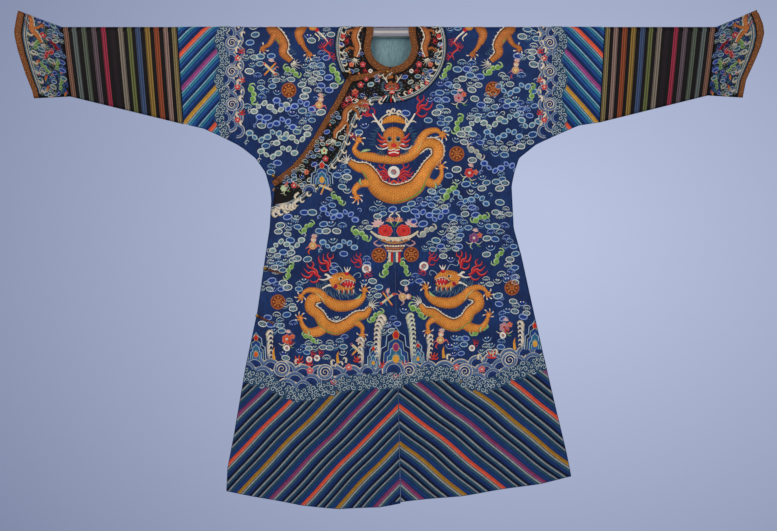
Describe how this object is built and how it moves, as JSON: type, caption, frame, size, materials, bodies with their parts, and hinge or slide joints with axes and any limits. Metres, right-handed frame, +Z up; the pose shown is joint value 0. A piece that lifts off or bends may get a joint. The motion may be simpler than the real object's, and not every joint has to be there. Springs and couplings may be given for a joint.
{
  "type": "chinese dragon robe on a display rod",
  "caption": "Full-length embroidered silk robe with banded sleeves, horseshoe cuffs and a side-closing overlap, hung flat on a round rod through both sleeves.",
  "frame": {"origin": "middle of the display rod's axis, where the rod is held", "axes": "+Z up, +X along the rod towards the wearer's left cuff, -Y out of the robe's front"},
  "size_m": [2.1327, 0.0641, 1.4199],
  "materials": {
    "rod_metal": "satin drawn tube",
    "silk_blue": "deep blue silk satin, embroidered",
    "banded_silk": "near-black silk with narrow coloured bands",
    "black_satin": "black silk satin, embroidered",
    "brocade_edging": "brown and gold brocade ribbon",
    "lining_silk": "plain teal silk",
    "gilt_brass": "worn gilt",
    "loop_cord": "brown silk cord"
  },
  "bodies": {
    "root": {"hanging_rod": "rod_metal", "body_right": "silk_blue", "body_left": "silk_blue", "overlap": "silk_blue", "sleeve_extension_right": "banded_silk", "sleeve_extension_left": "banded_silk", "cuff_right": "black_satin", "cuff_left": "black_satin", "cuff_edging_right": "brocade_edging", "cuff_edging_left": "brocade_edging", "collar_facing_right": "black_satin", "collar_facing_left": "black_satin", "overlap_facing": "black_satin", "neck_edging_right": "brocade_edging", "neck_edging_left": "brocade_edging", "overlap_edging": "brocade_edging", "neck_lining": "lining_silk", "button_throat": "gilt_brass", "button_corner": "gilt_brass", "button_underarm": "gilt_brass", "button_side_upper": "gilt_brass", "button_side_lower": "gilt_brass", "loop_throat": "loop_cord", "loop_corner": "loop_cord", "loop_underarm": "loop_cord", "loop_side_upper": "loop_cord", "loop_side_lower": "loop_cord"}
  },
  "joints": []
}
